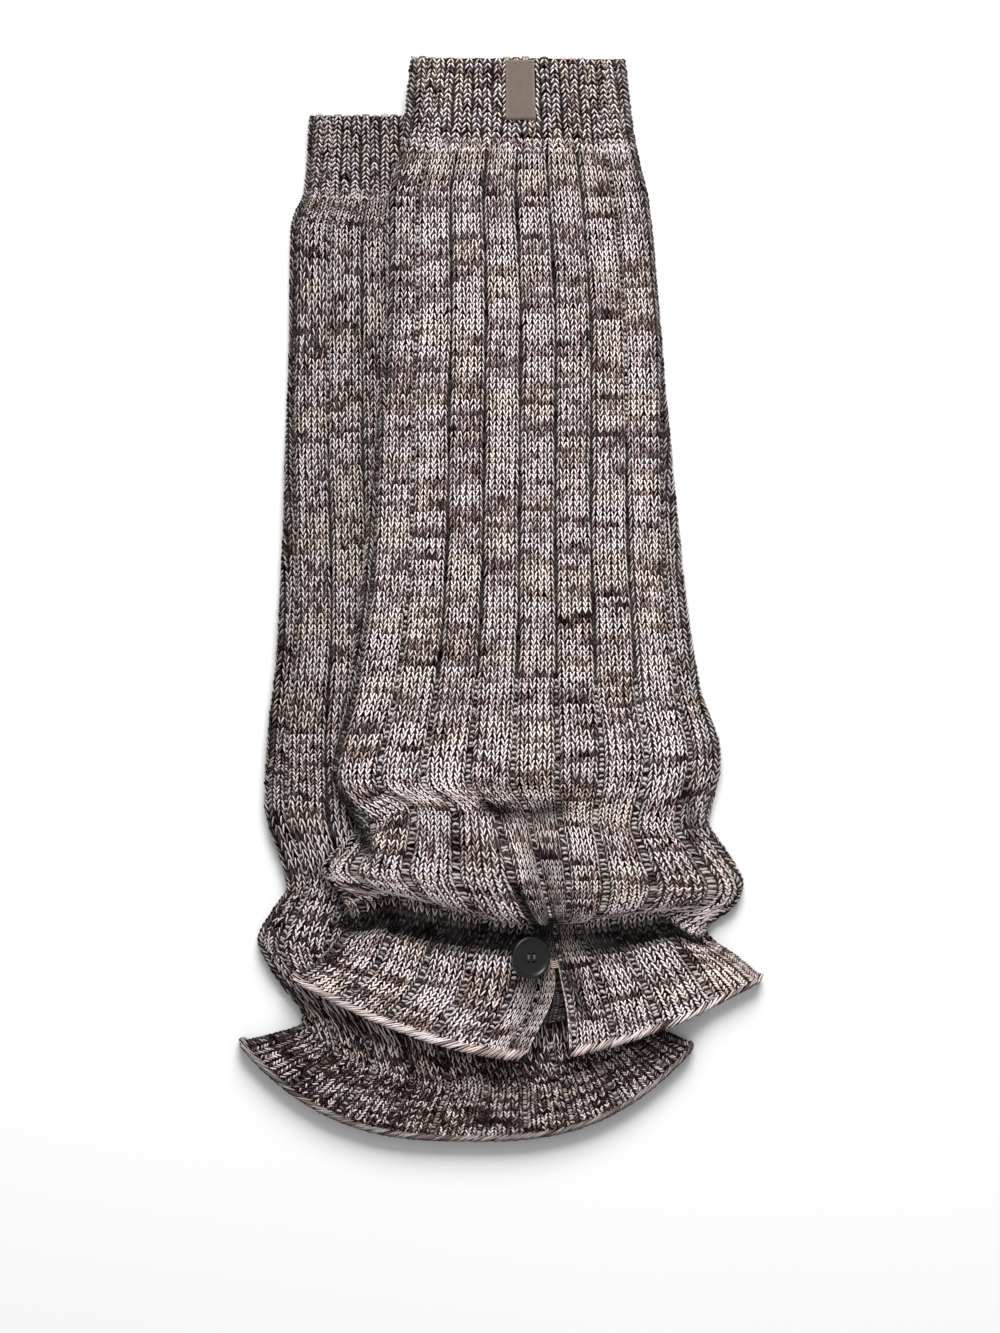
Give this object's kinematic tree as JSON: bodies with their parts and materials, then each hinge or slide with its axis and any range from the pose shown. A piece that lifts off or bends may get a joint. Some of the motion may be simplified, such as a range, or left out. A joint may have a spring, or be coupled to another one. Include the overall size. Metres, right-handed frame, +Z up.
{
  "type": "pair of leg warmers",
  "caption": "Pair of ribbed knit leg warmers laid flat, with fine-rib cuffs, gathered feet and flared rolled hems; the upper one has a hem slit under a button and a bare label.",
  "frame": {"origin": "on the surface that the pair lies on, under the middle of the pair's outer box", "axes": "+X to the right across the warmers as the picture shows them, +Y up the leg from the hems to the cuffs, +Z up off the surface"},
  "size_m": [0.2358, 0.4876, 0.0264],
  "materials": {
    "front_knit": "soft, hairy marl wool-blend knit in dark brown, pinkish grey and tan",
    "rear_knit": "the same marl knit, in shade",
    "hem_knit": "rolled knit edge, lighter than the leg",
    "label_twill": "flat woven twill tape, taupe, bare",
    "button_resin": "charcoal resin, satin",
    "sewing_thread": "dark grey sewing thread"
  },
  "bodies": {
    "root": {"front_cuff": "front_knit", "front_leg": "front_knit", "front_hem": "hem_knit", "front_label": "label_twill", "front_button": "button_resin", "front_button_thread": "sewing_thread", "rear_cuff": "rear_knit", "rear_leg": "rear_knit", "rear_hem": "hem_knit"}
  },
  "joints": []
}
